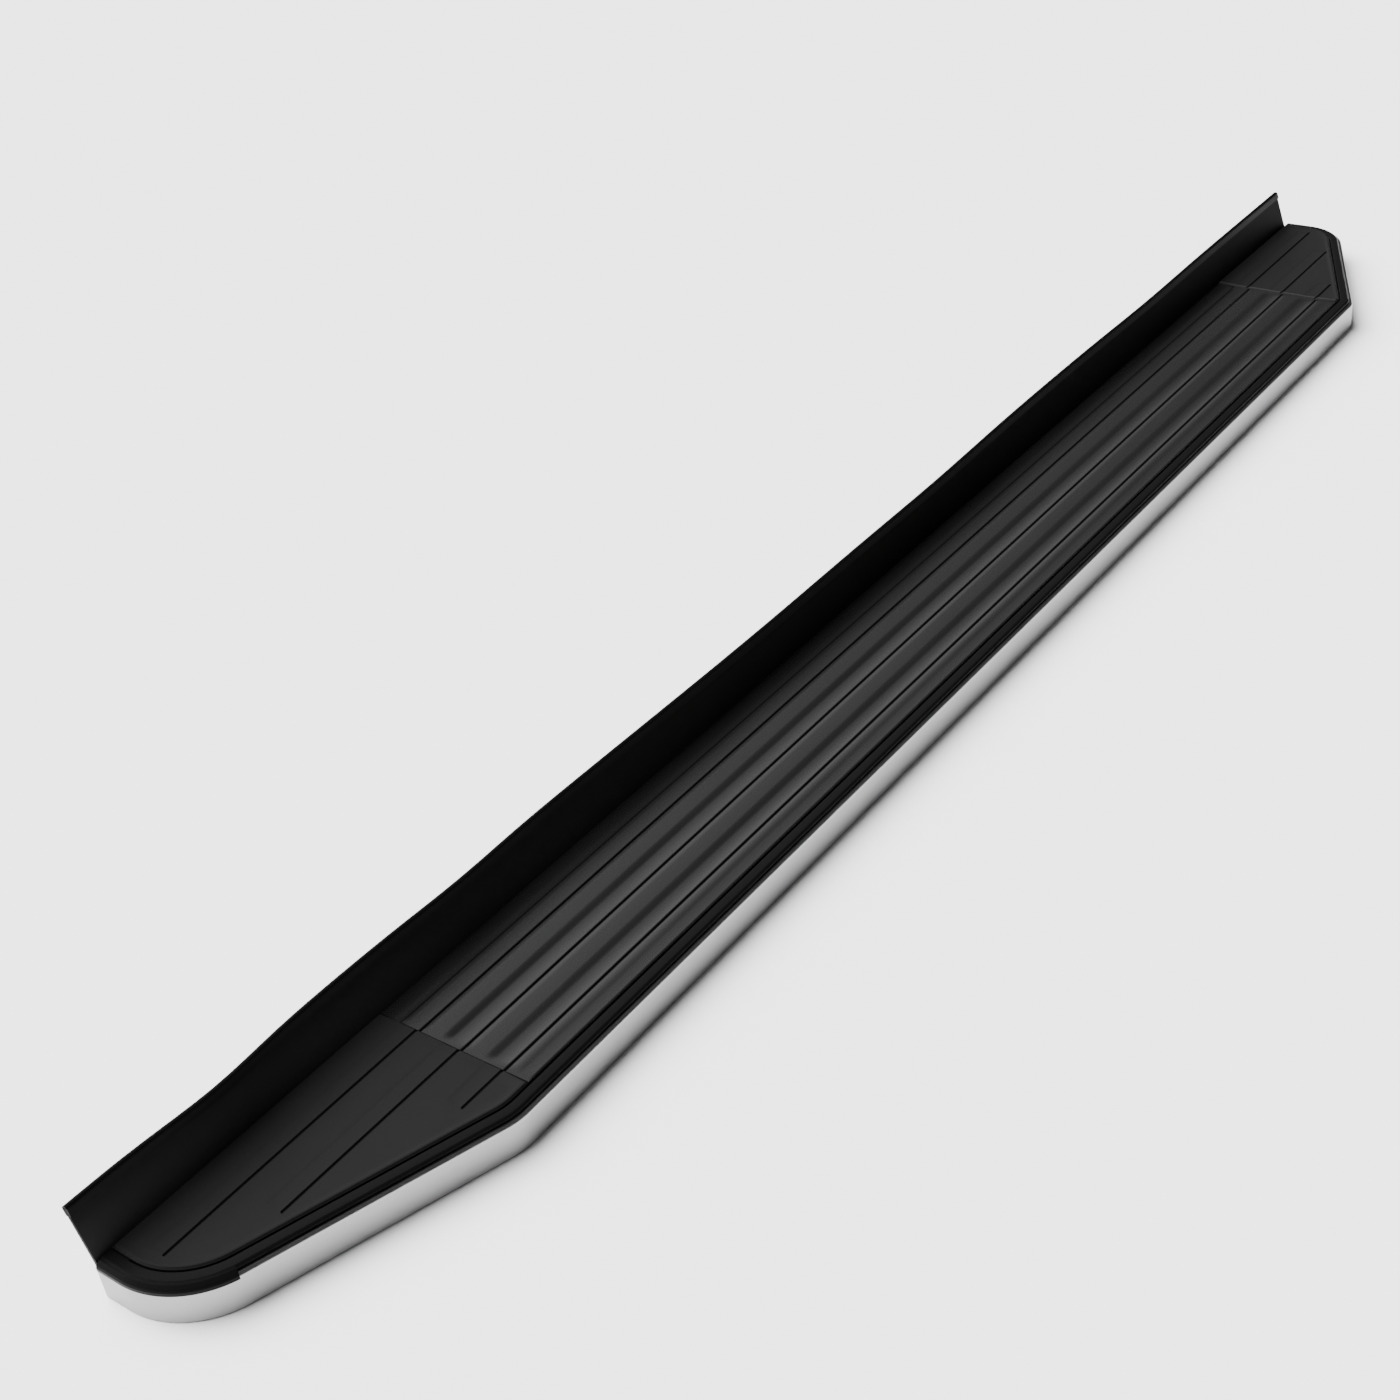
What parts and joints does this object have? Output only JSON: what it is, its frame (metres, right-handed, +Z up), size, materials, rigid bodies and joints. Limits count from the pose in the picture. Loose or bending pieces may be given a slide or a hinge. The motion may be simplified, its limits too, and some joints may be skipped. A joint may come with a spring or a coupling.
{
  "type": "vehicle running board",
  "caption": "Side step board with a ribbed tread, tapered ends, black rim, bright outer strip, leaning splash flap and sliding mounting brackets underneath.",
  "frame": {"origin": "under the middle of the assembly, on the plane of the outer strip's hem and the bolt ends", "axes": "+X from the long tapered front end to the rear end; +Y from the bright outer strip towards the vehicle; +Z up"},
  "size_m": [1.814, 0.176, 0.0725],
  "materials": {
    "bright_trim": "bright satin",
    "gloss_black_moulding": "gloss black",
    "tread_rubber": "fine matt grain",
    "cap_plastic": "fine leather grain",
    "flap_rubber": "smooth matt",
    "mill_aluminium": "mill finish",
    "black_coated_steel": "black powder coat",
    "zinc_plated_steel": "zinc plated"
  },
  "bodies": {
    "board": {"trim_strip": "bright_trim", "surround_moulding": "gloss_black_moulding", "tread_pad": "tread_rubber", "front_end_cap": "cap_plastic", "rear_end_cap": "cap_plastic", "splash_flap": "flap_rubber", "flap_edge_seal": "flap_rubber", "flap_retainer": "mill_aluminium", "core_extrusion": "mill_aluminium", "trim_screw_1": "zinc_plated_steel", "trim_screw_2": "zinc_plated_steel", "trim_screw_3": "zinc_plated_steel", "trim_screw_4": "zinc_plated_steel", "trim_screw_5": "zinc_plated_steel", "retainer_screw_1": "zinc_plated_steel", "retainer_screw_2": "zinc_plated_steel", "retainer_screw_3": "zinc_plated_steel", "retainer_screw_4": "zinc_plated_steel", "retainer_screw_5": "zinc_plated_steel", "retainer_screw_6": "zinc_plated_steel", "front_cap_screw_1": "zinc_plated_steel", "front_cap_screw_2": "zinc_plated_steel", "rear_cap_screw_1": "zinc_plated_steel", "rear_cap_screw_2": "zinc_plated_steel"},
    "front_mounting_set": {"bracket_front": "black_coated_steel", "t_bolt_front_outer": "zinc_plated_steel", "t_bolt_front_inner": "zinc_plated_steel", "washer_front_outer": "zinc_plated_steel", "washer_front_inner": "zinc_plated_steel", "nut_front_outer": "zinc_plated_steel", "nut_front_inner": "zinc_plated_steel"},
    "centre_mounting_set": {"bracket_centre": "black_coated_steel", "t_bolt_centre_outer": "zinc_plated_steel", "t_bolt_centre_inner": "zinc_plated_steel", "washer_centre_outer": "zinc_plated_steel", "washer_centre_inner": "zinc_plated_steel", "nut_centre_outer": "zinc_plated_steel", "nut_centre_inner": "zinc_plated_steel"},
    "rear_mounting_set": {"bracket_rear": "black_coated_steel", "t_bolt_rear_outer": "zinc_plated_steel", "t_bolt_rear_inner": "zinc_plated_steel", "washer_rear_outer": "zinc_plated_steel", "washer_rear_inner": "zinc_plated_steel", "nut_rear_outer": "zinc_plated_steel", "nut_rear_inner": "zinc_plated_steel"}
  },
  "joints": [
    {"name": "front_bracket_slide", "type": "slide", "parent": "board", "child": "front_mounting_set", "axis": [1, 0, 0], "range_m": [-0.06, 0.06]},
    {"name": "centre_bracket_slide", "type": "slide", "parent": "board", "child": "centre_mounting_set", "axis": [1, 0, 0], "range_m": [-0.06, 0.06]},
    {"name": "rear_bracket_slide", "type": "slide", "parent": "board", "child": "rear_mounting_set", "axis": [1, 0, 0], "range_m": [-0.06, 0.06]}
  ]
}
